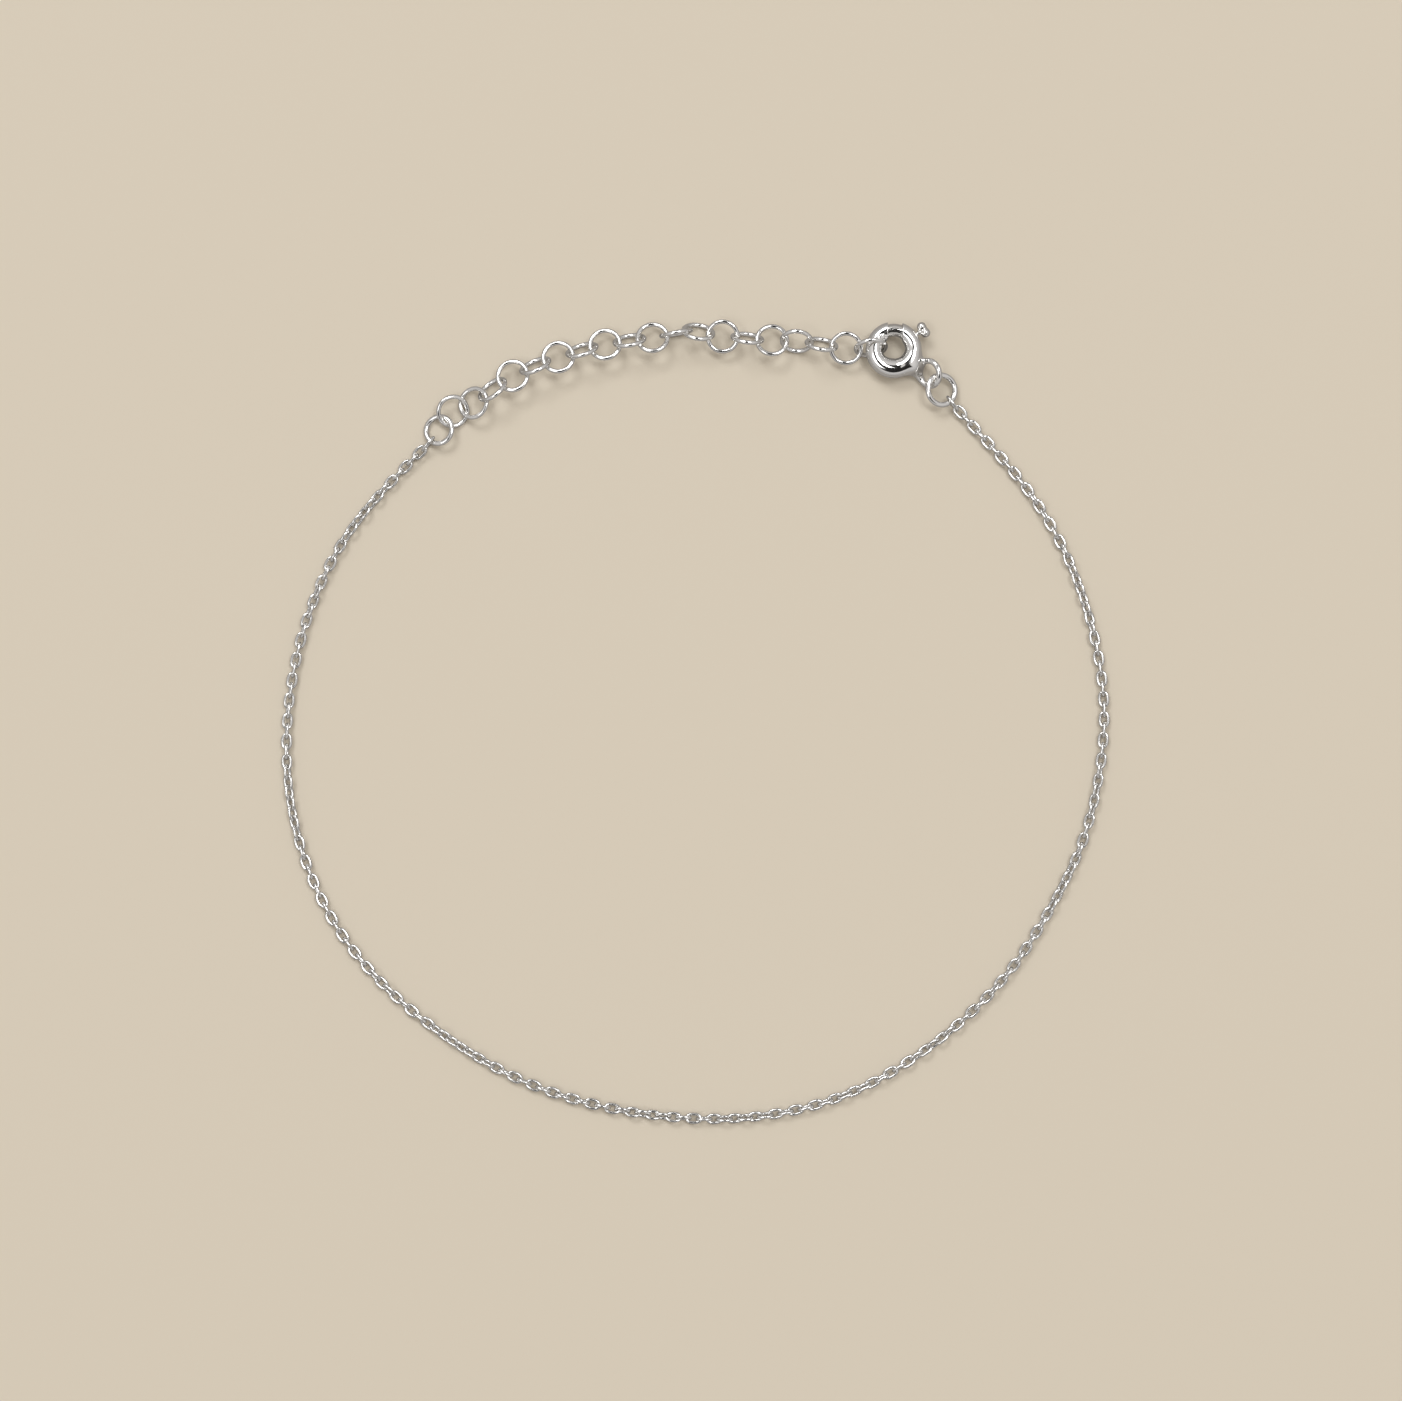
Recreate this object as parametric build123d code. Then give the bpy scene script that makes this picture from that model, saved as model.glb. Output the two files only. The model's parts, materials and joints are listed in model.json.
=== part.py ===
"""Chain anklet in silver: a fine cable chain, an extender of round links and a spring-ring clasp.

The anklet lies on a flat surface, z = 0, as one closed loop. +X runs to the right along the loop,
+Y towards the clasp and the extender, +Z up. The origin is under the middle of the loop.
Lengths are in millimetres and angles in degrees.
"""
from build123d import *
import math
import os

# ---- Driving dimensions -------------------------------------------------------------------

# Fine chain: a cable chain of small oval links, as one tube of the links' width
CHAIN_WIDTH = 1.06

# Extender: round wire links
LINK_OUTER = 3.36
LINK_WIRE = 0.44

# Jump rings at the two ends of the fine chain
LEFT_RING_OUTER = 3.22
LEFT_RING_WIRE = 0.50
RIGHT_RING_OUTER = 3.45
RIGHT_RING_WIRE = 0.54

# Spring-ring clasp: a bent tube
CLASP_OUTER = 5.5
CLASP_TUBE = 1.62
CLASP_BORE = 1.34
CLASP_CENTRE = Vector(19.36, 36.38, 1.39)
MOUTH_LEFT = -0.59
MOUTH_RIGHT = 0.85

# Eye soldered to the clasp, a tilted ring on a broad neck of three tapered struts. Each strut runs
# from a bearing on the tube to a turn round the eye's wire.
EYE_OUTER = 3.05
EYE_WIRE = 0.56
EYE_BEARING = -33.2
EYE_REACH = 4.17
EYE_LIFT = -0.20
EYE_HEADING = -72
EYE_ROLL = 45
NECK_STRUTS = [(-21, 203), (-37, 240), (-53, 282)]
NECK_ROOT = 0.62
NECK_TIP = 0.27

# Dimple punched in the top of the tube, which keeps the bolt in
DIMPLE_BEARING = 132
DIMPLE_REACH = 1.60
DIMPLE_RADIUS = 0.65
DIMPLE_DEPTH = 0.14

# Bolt that closes the mouth, and the nub that slides it
BOLT_WIDTH = 1.22
BOLT_TAIL = 12
BOLT_TIP = 113.5
NUB_BEARING = 34
NUB_REACH = 3.52
NUB_WIDTH = 0.90
NUB_LENGTH = 1.62
NUB_WAIST = 0.76
STEM_WIDTH = 0.40
STEM_ROOT = 0.30
BOLT_TRAVEL = 32
SLOT_HEIGHT = 0.46
SLOT_MARGIN = 1.5

# ---- Places, chosen for how the loop lies -------------------------------------------------

# The fine chain's way round, clockwise from the clasp's jump ring to the extender's: x, y
CHAIN_ROUTE = [
    (25.3, 31.0),
    (28.6, 27.5),
    (33.3, 22.0),
    (37.0, 15.4),
    (39.6, 7.0),
    (40.3, -1.0),
    (38.6, -10.8),
    (34.9, -18.4),
    (30.3, -25.5),
    (23.4, -31.9),
    (14.8, -37.0),
    (5.0, -39.2),
    (-5.5, -38.7),
    (-15.2, -36.3),
    (-23.0, -32.2),
    (-30.6, -26.3),
    (-36.3, -19.1),
    (-39.8, -9.8),
    (-40.4, -0.3),
    (-38.8, 8.9),
    (-35.6, 16.5),
    (-31.3, 22.3),
    (-26.3, 27.2),
]

# The extender's links from the left jump ring to the clasp: centre x, y, z, then how each link is
# turned. heading is the way its axis points from +X, roll lifts the link's left side and nose
# lifts its front end.
EXTENDER = [
    # x, y, z, heading, roll, nose
    (-23.83, 30.41, 0.85, 41, 25, -3),
    (-21.80, 31.22, 0.99, -24, 1, 27),
    (-19.91, 32.51, 1.48, 37, -59, 1),
    (-17.94, 33.83, 1.49, 30, -14, 1),
    (-15.73, 34.81, 1.56, 23, -65, 0),
    (-13.47, 35.66, 1.50, 19, -13, -1),
    (-11.16, 36.34, 1.56, 16, -65, 0),
    (-8.90, 36.91, 1.45, 11, -17, 1),
    (-6.51, 37.28, 1.55, 9, -65, 1),
    (-4.25, 37.57, 1.43, 7, -22, -1),
    (-1.94, 37.98, 1.70, 11, -87, 0),
    (0.23, 38.13, 1.46, -10, -57, 1),
    (2.61, 37.68, 1.46, -11, 13, 1),
    (5.02, 37.50, 1.59, -7, -68, 0),
    (7.44, 37.32, 1.47, -8, -16, 0),
    (9.87, 37.22, 1.49, -7, 55, -1),
    (12.28, 36.90, 1.54, -10, -64, 2),
    (14.68, 36.52, 1.55, -4, 17, 2),
    (17.11, 36.58, 1.55, 9, 65, 8),
]
# The two jump rings, in the same columns
LEFT_RING = (-25.21, 28.59, 0.73, 65, -20, -1)
RIGHT_RING = (24.05, 32.48, 1.17, 87, 21, -3)


# ---- Helpers ------------------------------------------------------------------------------

FROM_BASE = (Align.CENTER, Align.CENTER, Align.MIN)


def direction(bearing):
    """The level direction at a bearing from +X."""
    return Vector(math.cos(math.radians(bearing)), math.sin(math.radians(bearing)), 0)


def ring_plane(centre, heading, roll, nose):
    """A ring's own plane: x along its heading, y to its left, turned by nose and then roll."""
    ahead, left, up = direction(heading), direction(heading + 90), Vector(0, 0, 1)
    tilt, turn = math.radians(nose), math.radians(roll)
    ahead, up = ahead * math.cos(tilt) + up * math.sin(tilt), up * math.cos(tilt) - ahead * math.sin(tilt)
    left = left * math.cos(turn) + up * math.sin(turn)
    return Plane(origin=centre, x_dir=ahead, z_dir=ahead.cross(left))


def wire_ring(outer, wire, centre, heading, roll, nose):
    """A closed ring of round wire, lying in its own plane."""
    return ring_plane(centre, heading, roll, nose) * Torus((outer - wire) / 2, wire / 2)


def lying_ring(outer, wire, place):
    """A closed wire ring at a row of the tables above."""
    x, y, z, heading, roll, nose = place
    return wire_ring(outer, wire, Vector(x, y, z), heading, roll, nose)


def arc_tube(width, start, end):
    """A round rod bent along the clasp's middle line, from one bearing to another."""
    profile = Plane.XZ * Pos(clasp_bend, 0) * Circle(width / 2)
    return Rot(0, 0, start) * revolve(profile, Axis.Z, end - start)


def corner_radii(route):
    """One radius for each corner of a route, as large as its two runs allow: 0.45 of the shorter
    run, divided by the tangent of half the turn."""
    radii = []
    for before, corner, after in zip(route, route[1:], route[2:]):
        run_in, run_out = corner - before, after - corner
        half_turn = math.radians(run_in.get_angle(run_out)) / 2
        radii.append(0.45 * min(run_in.length, run_out.length) / math.tan(half_turn))
    return radii


# ---- Sub-parts ----------------------------------------------------------------------------

clasp_bend = (CLASP_OUTER - CLASP_TUBE) / 2
at_clasp = Pos(CLASP_CENTRE)


def fine_chain():
    """The cable chain as one tube that lies on the surface: straight runs and tangent arcs."""
    route = [Vector(x, y, CHAIN_WIDTH / 2) for x, y in CHAIN_ROUTE]
    radii = corner_radii(route)
    path = FilletPolyline(*route, radius=radii)
    tube = sweep(Plane(origin=path @ 0, z_dir=path % 0) * Circle(CHAIN_WIDTH / 2), path=path)
    whole = path.length * math.pi * CHAIN_WIDTH ** 2 / 4
    print("chain corner radii:", [round(radius, 1) for radius in radii])
    print(f"chain length {path.length:.1f}, volume {tube.volume:.2f} of {whole:.2f}")
    return tube


def clasp_body():
    """The spring ring: a bent tube with a mouth, a slot for the bolt's stem, and a soldered eye."""
    body = Torus(clasp_bend, CLASP_TUBE / 2)
    body += clasp_eye()
    body -= Torus(clasp_bend, CLASP_BORE / 2)
    mouth_middle = (MOUTH_LEFT + MOUTH_RIGHT) / 2
    body -= Pos(mouth_middle, clasp_bend, 0) * Box(MOUTH_RIGHT - MOUTH_LEFT, 2 * CLASP_TUBE, 2 * CLASP_TUBE)
    body -= stem_slot()
    dimple_lean = math.acos((clasp_bend - DIMPLE_REACH) / (CLASP_TUBE / 2))
    dimple_offset = CLASP_TUBE / 2 + DIMPLE_RADIUS - DIMPLE_DEPTH
    dimple_at = direction(DIMPLE_BEARING) * (clasp_bend - dimple_offset * math.cos(dimple_lean))
    dimple_at += Vector(0, 0, dimple_offset * math.sin(dimple_lean))
    body -= Pos(dimple_at) * Sphere(DIMPLE_RADIUS)
    return at_clasp * body


def clasp_eye():
    """The eye and its broad neck, about the clasp's own centre. Each strut of the neck tapers from
    the tube to the middle of the eye's wire."""
    eye_at = direction(EYE_BEARING) * EYE_REACH + Vector(0, 0, EYE_LIFT)
    eye_plane = ring_plane(eye_at, EYE_HEADING, EYE_ROLL, 0)
    eye = wire_ring(EYE_OUTER, EYE_WIRE, eye_at, EYE_HEADING, EYE_ROLL, 0)
    for bearing, turn in NECK_STRUTS:
        tube_middle = direction(bearing) * clasp_bend
        wire_middle = eye_plane.from_local_coords(direction(turn) * ((EYE_OUTER - EYE_WIRE) / 2))
        along = (wire_middle - tube_middle).normalized()
        root = tube_middle + along * (CLASP_BORE / 2)
        length = (wire_middle - root).length
        eye += Plane(origin=root, z_dir=along) * Cone(NECK_ROOT, NECK_TIP, length, align=FROM_BASE)
    return eye


def stem_slot():
    """The slot in the tube's outer wall, as long as the bolt's travel and the stem need."""
    stem_half = math.degrees(math.asin(STEM_WIDTH / 2 / (clasp_bend + CLASP_BORE / 2))) + SLOT_MARGIN
    first = NUB_BEARING - BOLT_TRAVEL - stem_half
    last = NUB_BEARING + stem_half
    profile = Plane.XZ * Pos(clasp_bend + CLASP_TUBE / 2, 0) * Rectangle(CLASP_TUBE / 2, SLOT_HEIGHT)
    return Rot(0, 0, first) * revolve(profile, Axis.Z, last - first)


def clasp_bolt():
    """The sliding bolt: a bent rod in the bore, its stem through the slot and the thumb nub."""
    bolt = arc_tube(BOLT_WIDTH, BOLT_TAIL, BOLT_TIP)
    outward = direction(NUB_BEARING)
    stem_from = clasp_bend + STEM_ROOT
    stem_plane = Plane(origin=outward * stem_from, z_dir=outward)
    bolt += stem_plane * Cylinder(STEM_WIDTH / 2, NUB_REACH - stem_from, align=FROM_BASE)
    along = direction(NUB_BEARING + 90)
    nub_plane = Plane(origin=outward * NUB_REACH, z_dir=along)
    bump_offset = (NUB_LENGTH - NUB_WIDTH) / 2
    bolt += nub_plane * Cylinder(NUB_WAIST / 2, 2 * bump_offset)
    bolt += nub_plane * Pos(0, 0, bump_offset) * Sphere(NUB_WIDTH / 2)
    bolt += nub_plane * Pos(0, 0, -bump_offset) * Sphere(NUB_WIDTH / 2)
    return at_clasp * bolt


def build():
    """Every sub-part by its node's name."""
    parts = {
        "fine_chain": fine_chain(),
        "jump_ring_left": lying_ring(LEFT_RING_OUTER, LEFT_RING_WIRE, LEFT_RING),
        "jump_ring_right": lying_ring(RIGHT_RING_OUTER, RIGHT_RING_WIRE, RIGHT_RING),
        "clasp_body": clasp_body(),
        "clasp_bolt": clasp_bolt(),
    }
    for number, place in enumerate(EXTENDER, start=1):
        parts[f"extender_link_{number:02d}"] = lying_ring(LINK_OUTER, LINK_WIRE, place)
    return parts


os.makedirs("parts", exist_ok=True)
for name, part in build().items():
    export_step(part, f"parts/{name}.step")
    print(name, round(part.volume, 3))
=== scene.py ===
# %% [markdown]
# # A silver chain anklet, closed and laid down as one loop
#
# The anklet is a long fine chain, a short run of round links called the extender, and a spring-ring
# clasp that hooks into it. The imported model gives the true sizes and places: where each ring lies, how
# the fine chain runs, and how the clasp's bolt slides. This lesson keeps those places and makes the
# look round them: round wire, real chain links, a rounded clasp, and silver that mirrors the studio.
# Blender works in metres, and a jeweller in millimetres, so sizes are written in millimetres here and
# turned to metres when a mesh is made. Angles are in degrees.

# %% Load the model
import itertools
import json
import math
import bpy
import numpy as np
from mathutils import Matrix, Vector


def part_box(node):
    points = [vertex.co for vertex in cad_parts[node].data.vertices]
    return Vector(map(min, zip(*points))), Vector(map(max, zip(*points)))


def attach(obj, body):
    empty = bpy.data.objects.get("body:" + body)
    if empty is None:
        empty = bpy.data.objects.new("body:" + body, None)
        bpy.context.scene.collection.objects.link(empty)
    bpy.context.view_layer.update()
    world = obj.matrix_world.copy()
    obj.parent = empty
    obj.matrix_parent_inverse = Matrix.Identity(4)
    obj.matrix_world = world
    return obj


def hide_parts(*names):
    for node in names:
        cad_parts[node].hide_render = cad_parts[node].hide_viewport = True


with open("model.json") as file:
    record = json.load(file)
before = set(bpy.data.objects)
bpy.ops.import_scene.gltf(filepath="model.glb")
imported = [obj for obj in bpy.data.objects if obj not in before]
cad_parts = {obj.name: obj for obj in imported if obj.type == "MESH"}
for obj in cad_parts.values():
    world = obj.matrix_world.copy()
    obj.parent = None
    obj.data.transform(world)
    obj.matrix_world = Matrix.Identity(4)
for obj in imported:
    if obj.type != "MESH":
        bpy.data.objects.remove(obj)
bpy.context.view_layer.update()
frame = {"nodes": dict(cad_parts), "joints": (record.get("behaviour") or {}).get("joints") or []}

MM = 0.001


# %% [markdown]
# ## Small helpers
#
# Every piece below ends as a mesh from arrays of points and faces, shaded smooth, which moves with
# one body of the model. One function does that, so that each piece's own cell holds only its shape.
# Rings and links are both closed tubes, so they share one rule for their faces.

# %% Turn arrays into a piece of the anklet
def make_piece(name, points_mm, faces, material, body, stands_for):
    """A smooth mesh from points in millimetres, which moves with a body and stands for model nodes."""
    mesh = bpy.data.meshes.new(name)
    mesh.from_pydata((np.asarray(points_mm) * MM).tolist(), [], np.asarray(faces).tolist())
    mesh.shade_smooth()
    mesh.materials.append(material)
    piece = bpy.data.objects.new(name, mesh)
    bpy.context.scene.collection.objects.link(piece)
    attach(piece, body)
    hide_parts(*stands_for)


def tube_faces(around, across):
    """The four-sided faces of a closed tube whose points run across the wire first, then around."""
    i, j = np.meshgrid(np.arange(around), np.arange(across), indexing="ij")
    i_next, j_next = (i + 1) % around, (j + 1) % across
    corners = [i * across + j, i_next * across + j, i_next * across + j_next, i * across + j_next]
    return np.stack(corners, axis=-1).reshape(-1, 4)


# %% Colours as a designer writes them
def linear_colour(hex_colour):
    """An sRGB hex colour as the linear red, green, blue and alpha that a shader expects."""
    channels = [int(hex_colour[i:i + 2], 16) / 255 for i in (1, 3, 5)]
    linear = [c / 12.92 if c <= 0.04045 else ((c + 0.055) / 1.055) ** 2.4 for c in channels]
    return (*linear, 1.0)


# %% Add one shader node
def add_node(tree, kind, inputs=None, **settings):
    """One node with its settings. inputs gives a value, or another node's output, for each socket."""
    made = tree.nodes.new(kind)
    for name, value in settings.items():
        setattr(made, name, value)
    for name, value in (inputs or {}).items():
        if isinstance(value, bpy.types.NodeSocket):
            tree.links.new(value, made.inputs[name])
        else:
            made.inputs[name].default_value = value
    return made


# %% [markdown]
# ## Polished sterling silver
#
# Silver is the palest and most mirror-like of the jewellery metals. Tumbling with steel shot and a
# last rub with rouge leave it bright, with a faint waviness a millimetre or so long where the wire
# was drawn and bent, and with patches that handling has dulled a little. Its look is nearly all
# reflection, so the colour is a pale, slightly warm grey and the roughness stays low. One noise
# varies the roughness in patches, and a finer one, as bump, bends the reflections a little.

# %% Build a silver finish
# How far apart the handled patches are, and the noise values at which one starts and is at its dullest
HANDLED_PATCH = 2.2
PATCH_START, PATCH_FULL = 0.35, 0.7


def polished_silver(name, hex_colour, gloss, dull, wave_mm, wave_height_mm):
    """Polished silver. gloss and dull are the lowest and highest roughness; waves are surface hollows."""
    material = bpy.data.materials.new(name)
    material.use_nodes = True
    tree = material.node_tree
    shader = tree.nodes["Principled BSDF"]
    shader.inputs["Base Color"].default_value = linear_colour(hex_colour)
    shader.inputs["Metallic"].default_value = 1.0
    place = add_node(tree, "ShaderNodeTexCoord").outputs["Object"]
    handling = add_node(tree, "ShaderNodeTexNoise",
                        {"Vector": place, "Scale": 1 / (HANDLED_PATCH * MM), "Detail": 3.0})
    roughness = add_node(tree, "ShaderNodeMapRange", {
        "Value": handling.outputs["Fac"], "From Min": PATCH_START, "From Max": PATCH_FULL,
        "To Min": gloss, "To Max": dull})
    tree.links.new(roughness.outputs["Result"], shader.inputs["Roughness"])
    waves = add_node(tree, "ShaderNodeTexNoise",
                     {"Vector": place, "Scale": 1 / (wave_mm * MM), "Detail": 1.0})
    bump = add_node(tree, "ShaderNodeBump", {
        "Height": waves.outputs["Fac"], "Strength": 1.0, "Distance": wave_height_mm * MM})
    tree.links.new(bump.outputs["Normal"], shader.inputs["Normal"])
    print(name, "roughness", gloss, "to", dull)
    return material


# %% [markdown]
# ### Four finishes of the same metal
#
# The rings' wire is the brightest, because every side of it meets the polishing shot. The fine chain's
# links shield each other, so they stay a little duller. The clasp's tube is pressed and then buffed,
# with longer and shallower waves. The bolt is drawn wire that is rubbed each time it slides, which
# leaves it the dullest, with short waves.

# %% The finishes
wire_silver = polished_silver("polished_silver_wire", "#F5F4F2", gloss=0.05, dull=0.11,
                              wave_mm=1.3, wave_height_mm=0.014)
chain_silver = polished_silver("polished_silver_chain", "#EFEEEC", gloss=0.10, dull=0.20,
                               wave_mm=0.7, wave_height_mm=0.008)
clasp_silver = polished_silver("polished_silver_clasp", "#F8F7F5", gloss=0.08, dull=0.14,
                               wave_mm=1.6, wave_height_mm=0.009)
bolt_silver = polished_silver("drawn_silver_bolt", "#E9E7E3", gloss=0.12, dull=0.24,
                              wave_mm=0.35, wave_height_mm=0.014)


# %% [markdown]
# ## Wire rings
#
# The extender is a row of round links, each a piece of round wire bent to a ring and soldered shut.
# The two jump rings at the ends of the fine chain are the same thing in thicker wire. A torus is that
# shape exactly. Each ring's place, tilt and size are read from its node in the model: the middle of
# its points is the ring's centre, the direction in which they spread least is its axis, and the
# nearest and farthest points from the axis give the wire. Polishing then takes a few thousandths of a
# millimetre off the wire, which also keeps every ring within the model's own.

# %% Measure a ring in the model
POLISHED_OFF = 0.006


def measure_ring(node):
    """A model ring's centre, two directions in its plane, its bend radius and its wire radius, in mm."""
    points = np.array([vertex.co for vertex in frame["nodes"][node].data.vertices]) / MM
    low, high = points.min(axis=0), points.max(axis=0)
    centre = (low + high) / 2
    directions = np.linalg.svd(points - centre, full_matrices=False)[2]
    flat = (points - centre) @ directions[:2].T
    reach = np.hypot(flat[:, 0], flat[:, 1])
    bend, wire = (reach.max() + reach.min()) / 2, (reach.max() - reach.min()) / 2
    return centre, directions[0], directions[1], bend, wire - POLISHED_OFF


# %% Shape a ring of round wire
def ring_points(centre, ahead, left, bend, wire, around, across):
    """The points of a torus, across the wire first and then around the ring."""
    turn = np.linspace(0, 2 * np.pi, around, endpoint=False)[:, None]
    roll = np.linspace(0, 2 * np.pi, across, endpoint=False)[None, :]
    outward = np.cos(turn)[..., None] * ahead + np.sin(turn)[..., None] * left
    up = np.cross(ahead, left)
    reach = bend + wire * np.cos(roll)
    points = centre + reach[..., None] * outward + (wire * np.sin(roll))[..., None] * up
    return points.reshape(-1, 3)


# %% Make all the rings
RING_AROUND, RING_ACROSS = 96, 28
ring_nodes = [node for node in sorted(frame["nodes"]) if node.startswith(("extender_link", "jump_ring"))]
rings = {}
for node in ring_nodes:
    rings[node] = measure_ring(node)
    points = ring_points(*rings[node], RING_AROUND, RING_ACROSS)
    make_piece(node + "_wire", points, tube_faces(RING_AROUND, RING_ACROSS), wire_silver, "anklet",
               [node])
first_wire = 2 * rings["extender_link_01"][4]
print(len(rings), "rings; the first extender link has wire of", round(first_wire, 2), "mm")


# %% [markdown]
# ## The fine chain
#
# The long part of the anklet is a cable chain: small oval links, each threaded through the next and
# turned about a quarter turn from it. The model holds it as one rod along the chain's route. An array
# bent along a curve would bend the links too, so the same route becomes a smooth curve here, and stiff
# links are set along it one by one, all in one mesh. The route's points are the curve's control
# points, and its height is the middle of the model's rod. The links are 1.10 mm wide, a hair more than
# the rod, and still lie within the model's box.

# %% The route, from the clasp's jump ring round to the extender's
CHAIN_WIDTH = 1.06
CHAIN_ROUTE = [
    (25.3, 31.0), (28.6, 27.5), (33.3, 22.0), (37.0, 15.4), (39.6, 7.0), (40.3, -1.0),
    (38.6, -10.8), (34.9, -18.4), (30.3, -25.5), (23.4, -31.9), (14.8, -37.0), (5.0, -39.2),
    (-5.5, -38.7), (-15.2, -36.3), (-23.0, -32.2), (-30.6, -26.3), (-36.3, -19.1), (-39.8, -9.8),
    (-40.4, -0.3), (-38.8, 8.9), (-35.6, 16.5), (-31.3, 22.3), (-26.3, 27.2),
]
curve = bpy.data.curves.new("chain_route", "CURVE")
curve.dimensions = "3D"
curve.resolution_u = 24
spline = curve.splines.new("NURBS")
spline.points.add(len(CHAIN_ROUTE) - 1)
for point, (x, y) in zip(spline.points, CHAIN_ROUTE):
    point.co = (x * MM, y * MM, CHAIN_WIDTH / 2 * MM, 1)
spline.order_u = 3
spline.use_endpoint_u = True
route_object = bpy.data.objects.new("chain_route", curve)
route_mesh = bpy.data.meshes.new_from_object(route_object)
route = np.array([vertex.co for vertex in route_mesh.vertices]) / MM
bpy.data.objects.remove(route_object)
bpy.data.curves.remove(curve)
bpy.data.meshes.remove(route_mesh)
route_length = np.linalg.norm(np.diff(route, axis=0), axis=1).sum()
print("the fine chain's route is", round(route_length, 1), "mm long")


# %% [markdown]
# ### The chain's two ends
#
# Each end hooks into a jump ring, whose wire is thicker than the chain's and sits higher. A small link
# would not go round both, so a jeweller ends such a chain in a slightly larger one. The links never
# pull quite tight, which is the slack below. The run starts and ends at the rings' wire, and its
# height dies away from each ring to the height at which the small links lie.

# %% Where the chain hooks into its jump rings
WIRE_STEPS = 720


def nearest_wire(node, point):
    """The place on a ring's wire, at its middle, that is nearest to a point."""
    centre, ahead, left, bend, _ = rings[node]
    turn = np.linspace(0, 2 * np.pi, WIRE_STEPS, endpoint=False)[:, None]
    middle = centre + bend * (np.cos(turn) * ahead + np.sin(turn) * left)
    return middle[np.argmin(np.linalg.norm(middle - point, axis=1))]


hooks = [nearest_wire("jump_ring_right", route[0]), nearest_wire("jump_ring_left", route[-1])]
way = np.vstack([hooks[0], route, hooks[1]])
way_along = np.concatenate([[0], np.cumsum(np.linalg.norm(np.diff(way, axis=0), axis=1))])
print("from ring to ring the chain is", round(way_along[-1], 1), "mm long")


# %% How the chain rises to its jump rings
LINK_WIRE = 0.28
LINK_LENGTH, LINK_WIDTH = 1.65, 1.10
END_LINK_LENGTH, END_LINK_WIDTH = 1.92, 1.38
# The rise falls to about a third over its length, and an end link clears the paper by its lift
RISE_LENGTH = 2.0
END_LINK_LIFT = 0.05

lowest_end = END_LINK_WIDTH / 2 + END_LINK_LIFT
rises = [max(hook[2], lowest_end) - LINK_WIDTH / 2 for hook in hooks]
way[:, 2] = LINK_WIDTH / 2 + rises[0] * np.exp(-way_along / RISE_LENGTH)
way[:, 2] += rises[1] * np.exp((way_along - way_along[-1]) / RISE_LENGTH)
print("the chain rises by", [round(rise, 2) for rise in rises], "mm at its ends")


# %% [markdown]
# ### Spacing the links
#
# A link's middle lies where its inner end just clears what it holds: the jump ring's wire, or the
# next link's. The small links then share the rest evenly. Their count is odd, so that both end
# links stand on edge, as they must to go round the wire of a ring that lies down.

# %% Where each link goes
# How far a link stays from drawn tight, and the spacing that the small links come nearest to
LINK_SLACK = 0.06
LINK_PITCH = 1.01

end_reach = END_LINK_LENGTH / 2 - LINK_WIRE
insets = [end_reach - rings[node][4] - LINK_SLACK for node in ("jump_ring_right", "jump_ring_left")]
end_step = end_reach - LINK_WIRE / 2 + (LINK_LENGTH - LINK_WIRE) / 2 - LINK_SLACK
first, last = insets[0], way_along[-1] - insets[1]
small_count = 2 * round((last - first - 2 * end_step) / LINK_PITCH / 2) + 1
small_at = np.linspace(first + end_step, last - end_step, small_count)
link_at = [first, *small_at, last]
print(small_count, "fine links, one every", round(small_at[1] - small_at[0], 3), "mm, and two end links")


# %% [markdown]
# ### The shape and lie of a link
#
# A cable link is wire bent round a bar with rounded sides, a little squarer than an ellipse. The
# squareness is the power in a superellipse, where 2 is an ellipse and more is squarer. Along the
# chain the links turn by turns a quarter, and the whole chain twists slowly to and fro about its own
# length, as a limp chain does when it is laid down. A link that lies flat rests a little lower than
# one that stands.

# %% Shape one link
LINK_AROUND, LINK_ACROSS = 30, 12
LINK_SQUARENESS = 2.5


def oval_link(length, width):
    """The points of one link about its own middle, its length along x and its width along y."""
    turn = np.linspace(0, 2 * np.pi, LINK_AROUND, endpoint=False)
    rounding = 2 / LINK_SQUARENESS
    x = (length - LINK_WIRE) / 2 * np.sign(np.cos(turn)) * np.abs(np.cos(turn)) ** rounding
    y = (width - LINK_WIRE) / 2 * np.sign(np.sin(turn)) * np.abs(np.sin(turn)) ** rounding
    middle = np.stack([x, y, np.zeros_like(x)], axis=1)
    ahead = np.roll(middle, -1, axis=0) - np.roll(middle, 1, axis=0)
    ahead /= np.linalg.norm(ahead, axis=1, keepdims=True)
    outward = np.cross(ahead, [0, 0, 1])
    roll = np.linspace(0, 2 * np.pi, LINK_ACROSS, endpoint=False)[None, :, None]
    spread = np.cos(roll) * outward[:, None] + np.sin(roll) * np.array([0, 0, 1])
    return (middle[:, None] + LINK_WIRE / 2 * spread).reshape(-1, 3)


small_link = oval_link(LINK_LENGTH, LINK_WIDTH)
end_link = oval_link(END_LINK_LENGTH, END_LINK_WIDTH)
print("each link has", len(small_link), "points")


# %% How the chain lies at each place
# The chain doesn't sway at its very ends, and sways fully from this far in
STILL_END = 6
SWAYS = [
    # degrees, length in mm, start
    (24, 5.1, 0.0),
    (17, 2.3, 1.2),
]


def place_on_way(along):
    """The point on the chain's way at a distance from its start."""
    return np.array([np.interp(along, way_along, way[:, axis]) for axis in range(3)])


def twist(along):
    """How far the chain has turned about its own length, in degrees: slow sways, at rest at both ends."""
    ends = min(1.0, along / STILL_END, (way_along[-1] - along) / STILL_END)
    return ends * sum(turn * math.sin(along / length + start) for turn, length, start in SWAYS)


# %% Set the links along the way
# How much lower a lying link rests, and how far each way the chain's heading is measured
LINK_SAG = 0.04
HEADING_SPAN = 0.5

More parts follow.
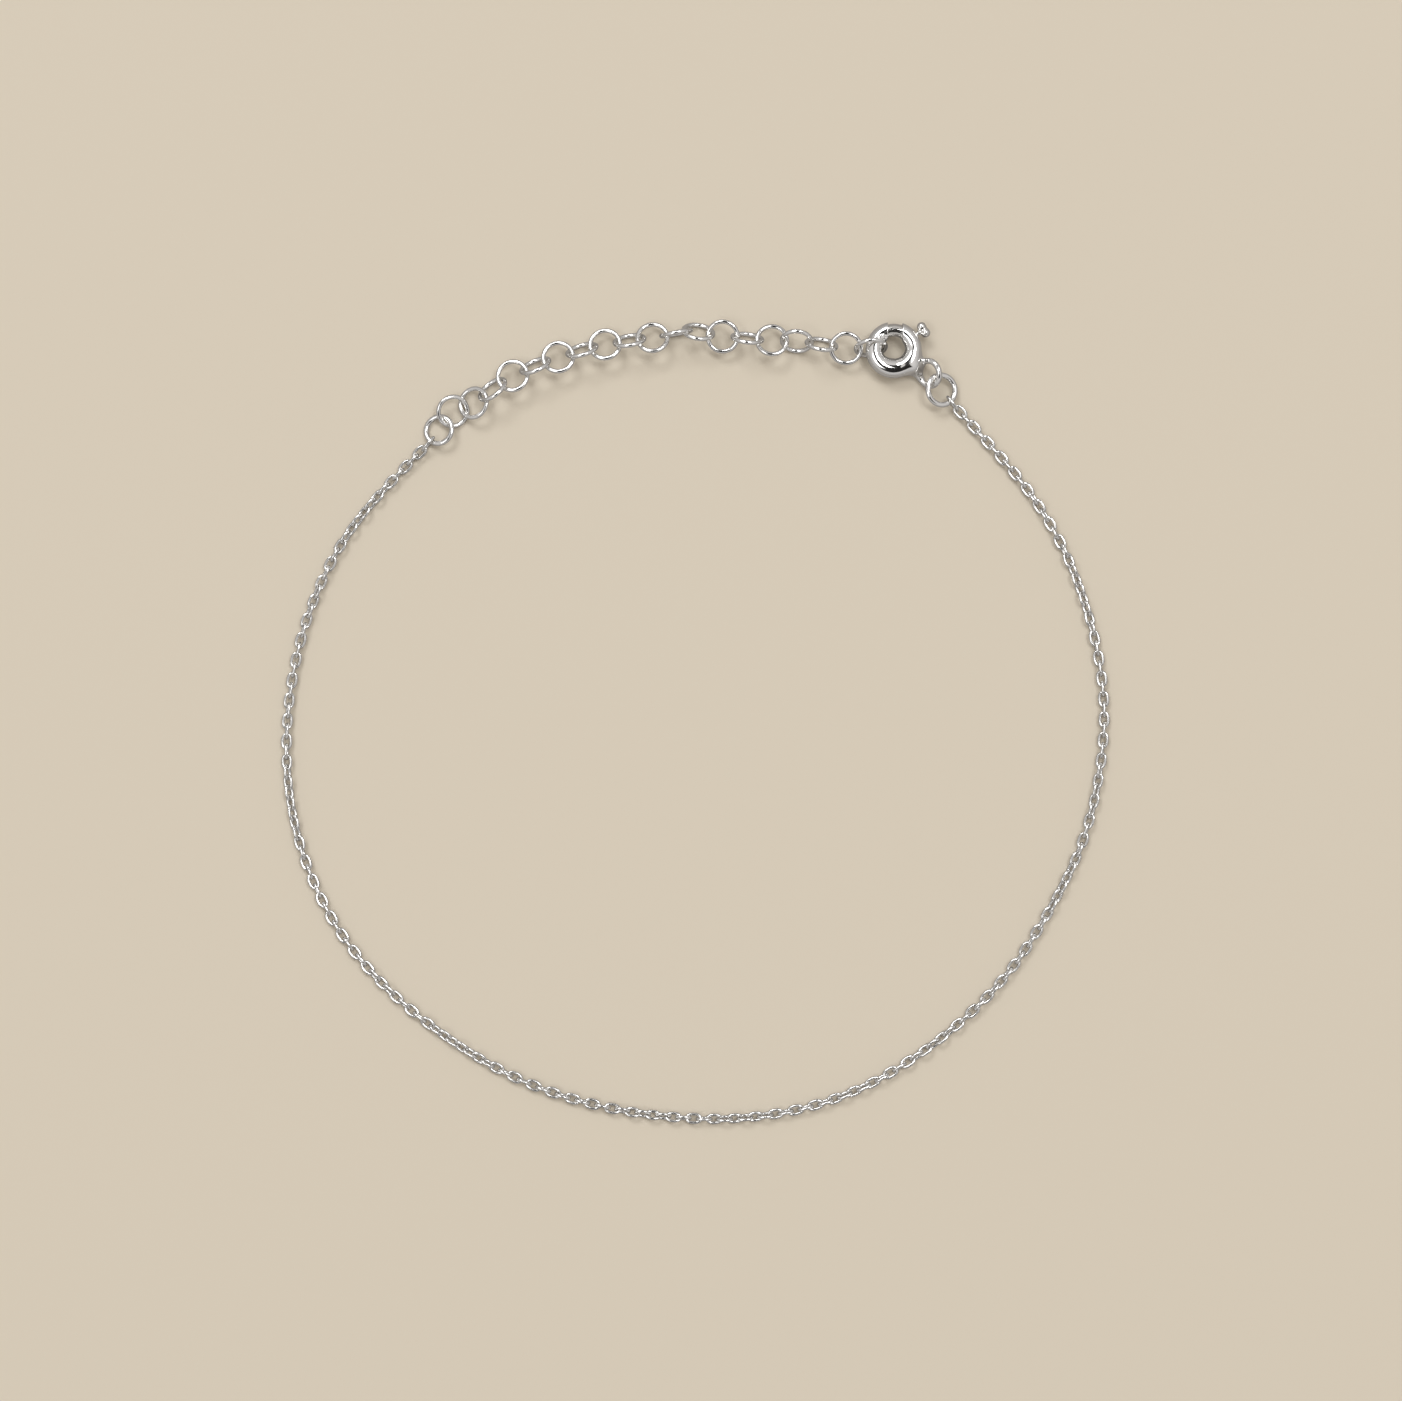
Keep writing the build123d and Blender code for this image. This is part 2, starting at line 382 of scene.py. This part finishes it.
links = []
for number, along in enumerate(link_at):
    tail, nose = max(along - HEADING_SPAN, 0), min(along + HEADING_SPAN, way_along[-1])
    ahead = place_on_way(nose) - place_on_way(tail)
    ahead /= np.linalg.norm(ahead)
    level = np.cross([0, 0, 1], ahead)
    upward = np.cross(ahead, level)
    turned = math.radians(90 * ((number + 1) % 2) + twist(along))
    across = math.cos(turned) * level + math.sin(turned) * upward
    middle = place_on_way(along) - [0, 0, LINK_SAG * (1 - abs(math.sin(turned)))]
    shape = end_link if number in (0, len(link_at) - 1) else small_link
    links.append(middle + shape @ np.stack([ahead, across, np.cross(ahead, across)]))
faces = tube_faces(LINK_AROUND, LINK_ACROSS)
all_faces = np.vstack([faces + number * len(small_link) for number in range(len(link_at))])
make_piece("fine_chain_links", np.vstack(links), all_faces, chain_silver, "anklet", ["fine_chain"])
gaps = [np.linalg.norm(a[:, None] - b[None], axis=2).min() for a, b in zip(links, links[1:])]
print("closest mesh points of neighbouring links:", round(min(gaps), 3), "mm apart")


# %% [markdown]
# ## The clasp
#
# A spring ring is a thin tube bent round to a C, with an eye soldered on and a bolt that slides
# inside it. Its edges are tumbled soft, and solder flows from the tube into the eye, so nothing on it
# is a hard join. Such shapes are easy to say as distances: a point's distance from each simple form,
# blended where solder flows and cut where metal is missing. The surface is where that distance is
# zero. The cells below write those distances, and then lay a mesh on the surface.

# %% Distances from simple forms, all in millimetres about the clasp's centre
def direction(bearing):
    """The level direction at a bearing from +X, in degrees."""
    return np.array([math.cos(math.radians(bearing)), math.sin(math.radians(bearing)), 0.0])


def torus(points, bend, wire):
    """Distance from a ring about the z axis."""
    return np.hypot(np.hypot(points[..., 0], points[..., 1]) - bend, points[..., 2]) - wire


def rod(points, start, end, start_radius, end_radius):
    """Distance from a straight rod with rounded ends, which may taper."""
    length = end - start
    share = np.clip((points - start) @ length / (length @ length), 0, 1)
    nearest = start + share[..., None] * length
    return np.linalg.norm(points - nearest, axis=-1) - (start_radius + share * (end_radius - start_radius))


def joined(a, b, flow):
    """Two forms as one, with a hollow fillet about as wide as flow."""
    near = np.maximum(flow - np.abs(a - b), 0) / flow
    return np.minimum(a, b) - near * near * flow / 4


def cut(a, b, softness):
    """Form a without form b, with the new edge rounded over softness."""
    return -joined(-a, b, softness)


# %% [markdown]
# ### From a distance to a mesh
#
# A grid is laid over the piece, and each cell that the surface crosses gets one point. Where two
# neighbouring grid corners lie on different sides, the four cells round that edge share a face. The
# result looks like steps, so its points are evened out and slid onto the surface, a few times over.
# Blender's voxel remesh lays a mesh in much the same way. This one ends on the exact form, which
# keeps the clasp's thin lips crisp.

# %% Lay a mesh on the surface where a distance is zero
CORNERS_OF_CELL = 8
SMOOTHING_ROUNDS = 3


def skin(distance, low, high, step):
    """Points and faces of the surface inside a box: one point in each grid cell that it crosses."""
    axes = [np.arange(a, b + step, step) for a, b in zip(low, high)]
    inside = distance(np.stack(np.meshgrid(*axes, indexing="ij"), axis=-1)) < 0
    cells = tuple(n - 1 for n in inside.shape)
    corner_sum = np.zeros(cells, int)
    for i, j, k in itertools.product((0, 1), repeat=3):
        corner_sum += inside[i:i + cells[0], j:j + cells[1], k:k + cells[2]]
    crossed = (corner_sum > 0) & (corner_sum < CORNERS_OF_CELL)
    label = np.full(cells, -1)
    label[crossed] = np.arange(crossed.sum())
    points = np.array(low) + (np.argwhere(crossed) + 0.5) * step
    faces = np.vstack([faces_across(inside, label, axis) for axis in range(3)])
    for _ in range(SMOOTHING_ROUNDS):
        points = onto_surface(distance, evened(points, faces), step)
    return points, faces


def faces_across(inside, label, axis):
    """The faces at the grid's edges along one axis, each between the four cells round its edge."""
    ahead = np.take(inside, range(1, inside.shape[axis]), axis)
    behind = np.take(inside, range(0, inside.shape[axis] - 1), axis)
    u, v = (axis + 1) % 3, (axis + 2) % 3
    edges = np.argwhere(ahead != behind)
    off_start = (edges[:, u] > 0) & (edges[:, v] > 0)
    off_end = (edges[:, u] < label.shape[u]) & (edges[:, v] < label.shape[v])
    edges = edges[off_start & off_end]
    step_u, step_v = np.eye(3, dtype=int)[u], np.eye(3, dtype=int)[v]
    corners = [edges - step_u - step_v, edges - step_v, edges, edges - step_u]
    quad = np.stack([label[tuple(corner.T)] for corner in corners], axis=1)
    leaving = behind[tuple(edges.T)]
    quad[~leaving] = quad[~leaving][:, ::-1]
    return quad


# %% Smooth the stepped mesh
# How often points slide, how far apart a slope is measured, and the least slope, which limits a slide
SLIDES = 4
SLOPE_PROBE = 0.002
LEAST_SLOPE = 0.05


def evened(points, faces):
    """Each point moved to the middle of its neighbours, so that the faces come out of one size."""
    total, count = np.zeros_like(points), np.zeros(len(points))
    for a, b in zip(faces.T, np.roll(faces, -1, axis=1).T):
        for start, end in ((a, b), (b, a)):
            np.add.at(total, start, points[end])
            np.add.at(count, start, 1)
    return total / count[:, None]


def onto_surface(distance, points, step):
    """Points slid straight onto the surface, by less than a grid step each time."""
    for _ in range(SLIDES):
        slope = np.stack([distance(points + SLOPE_PROBE * axis) - distance(points - SLOPE_PROBE * axis)
                          for axis in np.eye(3)], axis=1) / (2 * SLOPE_PROBE)
        steepness = np.maximum((slope ** 2).sum(axis=1), LEAST_SLOPE)
        move = (distance(points) / steepness)[:, None] * slope
        points = points - np.clip(move, -step / 2, step / 2)
    return points


# %% [markdown]
# ### The bent tube
#
# The model's joint gives the clasp's centre. The tube, its bore, the mouth and the slot have the same
# sizes as in the model. A bent tube bulges where the bending tool pressed it, so the inner half of its
# section is a little fatter at one bearing, its belly, and eases back to round on both sides. The
# mouth is a straight gap through the tube's upper part, and the slot, for the bolt's stem, is a narrow
# window in its outer wall.

# %% The tube, its belly, its mouth and its slot
slide = next(joint for joint in frame["joints"] if joint["name"] == "bolt_slide")
clasp_centre = np.array(slide["pos_m"]) / MM
CLASP_OUTER, CLASP_TUBE, CLASP_BORE = 5.5, 1.62, 1.34
# The belly's bearing, how much fatter it is as a share, and how many degrees it spreads each way
BELLY_BEARING, BELLY_SWELL, BELLY_SPREAD = -95, 0.36, 48
# The mouth's two sides, and how far from the clasp's middle it starts
MOUTH_LEFT, MOUTH_RIGHT, MOUTH_FOOT = -0.59, 0.85, 0.4
# The slot's height, and the bearings of its two ends
SLOT_HEIGHT, SLOT_FIRST, SLOT_LAST = 0.46, -4.0, 40.0
clasp_bend = (CLASP_OUTER - CLASP_TUBE) / 2
print("clasp centre, in mm:", clasp_centre.round(2))


def around_clasp(points):
    """Each point's level distance from the clasp's axis, and its bearing in degrees."""
    flat_reach = np.hypot(points[..., 0], points[..., 1])
    return flat_reach, np.degrees(np.arctan2(points[..., 1], points[..., 0]))


def bent_tube(points):
    """The tube before anything is cut, with its belly."""
    flat_reach, bearing = around_clasp(points)
    from_belly = (bearing - BELLY_BEARING + 180) % 360 - 180
    belly = 1 + BELLY_SWELL * np.exp(-(from_belly / BELLY_SPREAD) ** 2)
    across = flat_reach - clasp_bend
    across = np.where(across < 0, across / belly, across)
    return np.hypot(across, points[..., 2]) - CLASP_TUBE / 2


def mouth_gap(points):
    """The straight gap that the bolt closes."""
    middle, half = (MOUTH_LEFT + MOUTH_RIGHT) / 2, (MOUTH_RIGHT - MOUTH_LEFT) / 2
    return np.maximum(np.abs(points[..., 0] - middle) - half, MOUTH_FOOT - points[..., 1])


def stem_slot(points):
    """The window in the outer wall in which the bolt's stem slides."""
    flat_reach, bearing = around_clasp(points)
    middle, half = (SLOT_FIRST + SLOT_LAST) / 2, (SLOT_LAST - SLOT_FIRST) / 2
    side = (np.abs(bearing - middle) - half) * math.radians(1) * flat_reach
    level = np.abs(points[..., 2]) - SLOT_HEIGHT / 2
    return np.maximum(np.maximum(side, level), clasp_bend - flat_reach)


# %% [markdown]
# ### The eye and its neck
#
# The eye is a small tilted ring, soldered to the tube's lower right. The solder between them has the
# look of a web: a broad root on the tube that thins as it climbs the eye's wire. It is drawn as six
# tapering rods that run together where they are close, as drops of solder do. One pair makes the thick
# middle, by way of a shoulder on the tube, and two more on each side make the web.

# %% The eye
EYE_OUTER, EYE_WIRE = 3.05, 0.56
# Where the eye's middle lies from the clasp's, then the way it points and how far it is tilted
EYE_BEARING, EYE_REACH, EYE_LIFT = -33.2, 4.17, -0.20
EYE_HEADING, EYE_ROLL = -72, 45

eye_bend = (EYE_OUTER - EYE_WIRE) / 2
eye_middle = direction(EYE_BEARING) * EYE_REACH + [0, 0, EYE_LIFT]
eye_ahead = direction(EYE_HEADING)
eye_left = math.cos(math.radians(EYE_ROLL)) * direction(EYE_HEADING + 90)
eye_left = eye_left + [0, 0, math.sin(math.radians(EYE_ROLL))]
eye_axes = np.stack([eye_ahead, eye_left, np.cross(eye_ahead, eye_left)])
print("the eye's hole is", round(EYE_OUTER - 2 * EYE_WIRE, 2), "mm wide")


def eye_wire_at(turn):
    """The middle of the eye's wire, a turn in degrees from its heading."""
    return eye_middle + eye_bend * (math.cos(math.radians(turn)) * eye_ahead
                                    + math.sin(math.radians(turn)) * eye_left)


# %% The neck's rods
# How readily the rods run together, and the distance past which a rod is simply far away
NECK_FLOW = 0.18
NECK_FAR = 3
# The shoulder between the two middle rods, then where the first starts and the second ends
SHOULDER_BEARING, SHOULDER_REACH = -39, 2.52
SPINE_BEARING, SPINE_TURN, SPINE_LIFT = -41, 241, 0.20
WEB_RODS = [
    # bearing on the tube, turn on the eye's wire, radius at the tube, radius at the eye
    (-20, 200, 0.40, 0.10),
    (-27, 216, 0.44, 0.12),
    (-47, 266, 0.44, 0.12),
    (-54, 282, 0.40, 0.10),
]
shoulder = direction(SHOULDER_BEARING) * SHOULDER_REACH
neck_rods = [
    (direction(SPINE_BEARING) * clasp_bend, shoulder, 0.46, 0.48),
    (shoulder, eye_wire_at(SPINE_TURN) + [0, 0, SPINE_LIFT], 0.46, 0.22),
]
for bearing, turn, root, tip in WEB_RODS:
    neck_rods.append((direction(bearing) * clasp_bend, eye_wire_at(turn), root, tip))
print("the neck has", len(neck_rods), "rods")


def solder_neck(points):
    """All the neck's rods as one smooth form, which fills out where several are near."""
    nearness = 0
    for start, end, start_radius, end_radius in neck_rods:
        away = np.minimum(rod(points, start, end, start_radius, end_radius), NECK_FAR)
        nearness = nearness + np.exp(-away / NECK_FLOW)
    return -NECK_FLOW * np.log(nearness)


# %% [markdown]
# ### The clasp's body, whole
#
# The maker presses a small round mark into the tube beside the mouth, which keeps the bolt from
# falling out. It shows as a shallow round groove. The body is then the tube, neck and eye joined, less
# whatever would stand below the paper, the bore, the mouth and the slot. Each cut has its own
# softness: the bore's lip is thin and crisp, and the mouth's ends are rubbed rounder.

# %% The round mark
# Where the mark's middle lies from the clasp's, its radius, and its groove
MARK_BEARING, MARK_REACH, MARK_RADIUS = 134, 1.66, 0.32
GROOVE_DEPTH, GROOVE_WIDTH = 0.045, 0.06

mark_height = math.sqrt((CLASP_TUBE / 2) ** 2 - (clasp_bend - MARK_REACH) ** 2)
mark_middle = direction(MARK_BEARING) * MARK_REACH + [0, 0, mark_height]
print("the mark is", round(2 * MARK_RADIUS, 2), "mm wide")


def mark_groove(points):
    """How deep the round groove is at each point."""
    from_middle = np.linalg.norm(points - mark_middle, axis=-1)
    return GROOVE_DEPTH * np.exp(-((from_middle - MARK_RADIUS) / GROOVE_WIDTH) ** 2)


# %% Join and cut the body, and lay its skin
# How wide the solder flows where the eye and the tube are joined, and how soft each cut's edge is
EYE_SOLDER, TUBE_SOLDER = 0.4, 0.7
FOOT_SOFTNESS, BORE_SOFTNESS, MOUTH_SOFTNESS, SLOT_SOFTNESS = 0.05, 0.03, 0.07, 0.05
FLOOR_CLEARANCE = 0.01
SKIN_STEP = 0.05


def clasp_body_distance(points):
    """The bent tube with its soldered eye, bored through, with a mouth, a slot and a round mark."""
    eye = torus((points - eye_middle) @ eye_axes.T, eye_bend, EYE_WIRE / 2)
    body = joined(joined(solder_neck(points), eye, EYE_SOLDER), bent_tube(points), TUBE_SOLDER)
    body = cut(body, points[..., 2] + clasp_centre[2] - FLOOR_CLEARANCE, FOOT_SOFTNESS)
    body = cut(body, torus(points, clasp_bend, CLASP_BORE / 2), BORE_SOFTNESS)
    body = cut(body, mouth_gap(points), MOUTH_SOFTNESS)
    body = cut(body, stem_slot(points), SLOT_SOFTNESS)
    return body + mark_groove(points)


margin = 3 * SKIN_STEP
body_low, body_high = (np.array(corner) / MM - clasp_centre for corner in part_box("clasp_body"))
points, faces = skin(clasp_body_distance, body_low - margin, body_high + margin, SKIN_STEP)
make_piece("clasp_tube_and_eye", points + clasp_centre, faces, clasp_silver, "anklet", ["clasp_body"])
print("the clasp's skin has", len(faces), "faces")


# %% [markdown]
# ### The bolt
#
# The bolt is a bent rod that closes the mouth. A stem comes out through the slot and carries the nub
# that a thumbnail pulls, two small humps on a collar. It moves on its own body, so that it slides
# along the tube when the joint turns. It is made as the clasp is, because the stem, collar and humps
# run into each other.

# %% The bolt as a distance
# The bolt's width, and the bearings of its two ends
BOLT_WIDTH, BOLT_TAIL, BOLT_TIP = 1.22, 12, 113.5
# Where the stem starts outside the tube's middle line, and its radius
STEM_START, STEM_RADIUS = 0.3, 0.20
# Where the collar starts, and its radius there and at the nub
COLLAR_REACH, COLLAR_ROOT, COLLAR_RIM = 3.06, 0.22, 0.33
NUB_BEARING, NUB_REACH, NUB_WIDTH, NUB_LENGTH = 34, 3.52, 0.90, 1.62
HUMP_FLOW, COLLAR_FLOW, STEM_FLOW, BOLT_FLOW = 0.18, 0.2, 0.1, 0.12


def bolt_distance(points):
    """The bent rod with rounded ends, its stem and the two-humped nub."""
    bearing = np.clip(around_clasp(points)[1], BOLT_TAIL, BOLT_TIP)
    nearest = np.stack([clasp_bend * np.cos(np.radians(bearing)), clasp_bend * np.sin(np.radians(bearing)),
                        np.zeros_like(bearing)], axis=-1)
    bolt = np.linalg.norm(points - nearest, axis=-1) - BOLT_WIDTH / 2
    outward, along = direction(NUB_BEARING), direction(NUB_BEARING + 90)
    nub_middle = outward * NUB_REACH
    stem = rod(points, outward * (clasp_bend + STEM_START), nub_middle, STEM_RADIUS, STEM_RADIUS)
    collar = rod(points, outward * COLLAR_REACH, nub_middle, COLLAR_ROOT, COLLAR_RIM)
    hump = along * (NUB_LENGTH - NUB_WIDTH) / 2
    front = np.linalg.norm(points - (nub_middle + hump), axis=-1) - NUB_WIDTH / 2
    back = np.linalg.norm(points - (nub_middle - hump), axis=-1) - NUB_WIDTH / 2
    nub = joined(collar, joined(front, back, HUMP_FLOW), COLLAR_FLOW)
    return joined(bolt, joined(stem, nub, STEM_FLOW), BOLT_FLOW)


# %% Lay the bolt's skin
# The grid reaches this far past the model's bolt, so that the blended nub isn't cut off
BOLT_ROOM = 0.65

bolt_low, bolt_high = (np.array(corner) / MM - clasp_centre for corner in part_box("clasp_bolt"))
points, faces = skin(bolt_distance, bolt_low - margin - BOLT_ROOM, bolt_high + margin + BOLT_ROOM,
                     SKIN_STEP)
make_piece("clasp_bolt_and_nub", points + clasp_centre, faces, bolt_silver, "bolt", ["clasp_bolt"])
print("the bolt's skin has", len(faces), "faces")


# %% [markdown]
# ## The studio
#
# The anklet lies on pale paper. Polished silver shows only what stands round it, so a jewellery
# studio has large soft boxes, whose reflections are the white streaks, and a black card, whose
# reflection is the dark line that gives the wire its roundness. Beyond the paper and the lamps a
# studio is dim, and silver needs that dimness too, or it would be as pale as the paper. So the walls
# have a second, greyer tone, which only reflections see. The paper's second tone is a painted
# reflection: reflections see the paper in a darker grey than its own colour, which paints the
# silver's rims darker.

# %% The paper
PAPER = "#DAD1C1"
# The paper's painted reflection: a darker grey than the paper, which only reflections see, painting darker
# rims on the silver
PAINTED_PAPER_REFLECTION = "#A09D9A"
# Half the paper's width, which ends it where the lamps still light it evenly
PAPER_HALF = 1400

paper_material = bpy.data.materials.new("pale_paper")
paper_material.use_nodes = True
paper_tree = paper_material.node_tree
paper_shader = paper_tree.nodes["Principled BSDF"]
paper_shader.inputs["Base Color"].default_value = linear_colour(PAPER)
paper_shader.inputs["Roughness"].default_value = 0.85
# Glossy rays see the paper in the painted reflection grey, which keeps its shadows but paints the silver's
# rims darker
painted_paper_reflection = add_node(paper_tree, "ShaderNodeBsdfDiffuse", {"Color": linear_colour(PAINTED_PAPER_REFLECTION)})
paper_rays = add_node(paper_tree, "ShaderNodeLightPath")
paper_mix = add_node(paper_tree, "ShaderNodeMixShader", {
    0: paper_rays.outputs["Is Glossy Ray"], 1: paper_shader.outputs[0], 2: painted_paper_reflection.outputs[0]})
paper_tree.links.new(paper_mix.outputs[0], paper_tree.nodes["Material Output"].inputs["Surface"])


def stand_in_studio(name, corners_mm, faces, material):
    """A flat thing of the studio, made from its corners in millimetres."""
    mesh = bpy.data.meshes.new(name)
    mesh.from_pydata([Vector(corner) * MM for corner in corners_mm], [], faces)
    mesh.materials.append(material)
    thing = bpy.data.objects.new(name, mesh)
    bpy.context.scene.collection.objects.link(thing)
    return thing


paper_corners = [(x * PAPER_HALF, y * PAPER_HALF, 0) for x, y in ((-1, -1), (1, -1), (1, 1), (-1, 1))]
paper = stand_in_studio("paper", paper_corners, [(0, 1, 2, 3)], paper_material)
print("the paper is", 2 * PAPER_HALF / 1000, "m wide")


# %% [markdown]
# ### Lamps and card
#
# Each soft box hangs at an azimuth from +X and an angle down from straight up. A surface mirrors it
# where it tilts by half that angle, so the angle says how far from the crown of the wire the streak
# runs. The black card hangs overhead in the shape of an hourglass: broad to the far and near side,
# where the wire needs a dark line, with a narrow waist straight above, where a broad one would
# blacken the top of everything. Only reflections see the card, and it takes no light from the paper.

# %% Soft boxes
BOX_DISTANCE = 2500


def towards(azimuth, zenith):
    """The unit direction at an azimuth from +X and an angle down from straight up, in degrees."""
    lean = math.radians(zenith)
    return Vector((*(direction(azimuth)[:2] * math.sin(lean)), math.cos(lean)))


def soft_box(name, azimuth, zenith, width_mm, height_mm, brightness):
    """A rectangular lamp that faces the anklet. A brightness of 1 mirrors as plain white."""
    lamp = bpy.data.lights.new(name, "AREA")
    lamp.shape = "RECTANGLE"
    lamp.size, lamp.size_y = width_mm * MM, height_mm * MM
    lamp.energy = brightness * math.pi * lamp.size * lamp.size_y
    box = bpy.data.objects.new(name, lamp)
    bpy.context.scene.collection.objects.link(box)
    way_out = towards(azimuth, zenith)
    box.location = way_out * BOX_DISTANCE * MM
    box.rotation_euler = way_out.to_track_quat("Z", "Y").to_euler()
    box.visible_camera = False
    print(name, "gives", round(lamp.energy, 1), "W")


soft_box("key_box", azimuth=116, zenith=41, width_mm=1050, height_mm=800, brightness=6.5)
soft_box("east_box", azimuth=40, zenith=23, width_mm=900, height_mm=760, brightness=7.2)
soft_box("west_box", azimuth=208, zenith=25, width_mm=1000, height_mm=850, brightness=2.6)


# %% The black card
CARD_DISTANCE = 3900
CARD_OUTLINE = [
    # azimuth, angle from straight up; the first and fifth corners are the waist
    (0, 7), (50, 36), (90, 36), (130, 36), (180, 7), (-138, 47), (-93, 47), (-48, 47),
]

card_material = bpy.data.materials.new("black_card")
card_material.use_nodes = True
card_shader = card_material.node_tree.nodes["Principled BSDF"]
card_shader.inputs["Base Color"].default_value = linear_colour("#0A0A0A")
card_corners = [towards(*corner) * CARD_DISTANCE for corner in CARD_OUTLINE]
card = stand_in_studio("black_card", card_corners, [(0, 1, 2, 3, 4), (4, 5, 6, 7, 0)], card_material)
card.visible_camera = False
card.visible_diffuse = False
card.visible_shadow = False
print("the card hangs", CARD_DISTANCE / 1000, "m away")


# %% [markdown]
# ### The room
#
# The room fills the shadows with a soft, faintly warm light. The camera sees it in the paper's own
# colour, so that the paper has no visible edge in a low view. The silver sees walls that grow paler
# towards the ceiling, as a lit room's do.

# %% The room's own light
ROOM_COLOUR, ROOM_STRENGTH = "#FFF6EA", 0.43
WALL_COLOUR = "#FFFCFA"
# The walls' brightness at their foot and their top, and how high the top is, where 1 is straight up
WALL_FOOT, WALL_TOP = 0.33, 0.69
WALL_TOP_HEIGHT = 0.9

world = bpy.data.worlds.new("studio_room")
bpy.context.scene.world = world
world.use_nodes = True
world_tree = world.node_tree
room = world_tree.nodes["Background"]
room.inputs["Strength"].default_value = ROOM_STRENGTH
room.inputs["Color"].default_value = linear_colour(ROOM_COLOUR)
seen = add_node(world_tree, "ShaderNodeBackground", {"Color": linear_colour(PAPER), "Strength": 1.0})
rays = add_node(world_tree, "ShaderNodeLightPath")
heading = add_node(world_tree, "ShaderNodeSeparateXYZ", {
    "Vector": add_node(world_tree, "ShaderNodeTexCoord").outputs["Generated"]})
fade = add_node(world_tree, "ShaderNodeMapRange", {
    "Value": heading.outputs["Z"], "From Min": 0.0, "From Max": WALL_TOP_HEIGHT,
    "To Min": WALL_FOOT, "To Max": WALL_TOP})
walls = add_node(world_tree, "ShaderNodeBackground", {
    "Color": linear_colour(WALL_COLOUR), "Strength": fade.outputs["Result"]})
in_silver = add_node(world_tree, "ShaderNodeMixShader", {
    0: rays.outputs["Is Glossy Ray"], 1: room.outputs[0], 2: walls.outputs[0]})
mix = add_node(world_tree, "ShaderNodeMixShader", {
    0: rays.outputs["Is Camera Ray"], 1: in_silver.outputs[0], 2: seen.outputs[0]})
world_tree.links.new(mix.outputs[0], world_tree.nodes["World Output"].inputs["Surface"])
print("the room fills shadows at", ROOM_STRENGTH, "of white")


# %% [markdown]
# ## The camera
#
# The camera looks straight down from above the loop. Its height is worked out from the lens, so that
# the view is 137.4 mm wide at the height of the chain.

# %% The camera, straight above
# The view's width and its middle, both at the height of the chain
VIEW_WIDTH = 137.4
VIEW_MIDDLE = (0.49, 2.06, 1.0)

camera_data = bpy.data.cameras.new("camera")
camera_data.lens = 85
camera_data.clip_start = 0.01
camera = bpy.data.objects.new("camera", camera_data)
bpy.context.scene.collection.objects.link(camera)
camera_height = VIEW_WIDTH * camera_data.lens / camera_data.sensor_width
camera.location = Vector(VIEW_MIDDLE) * MM + Vector((0, 0, camera_height * MM))
bpy.context.scene.camera = camera
bpy.context.scene.view_settings.view_transform = "Standard"
print("the camera is", round(camera_height), "mm above the chain")
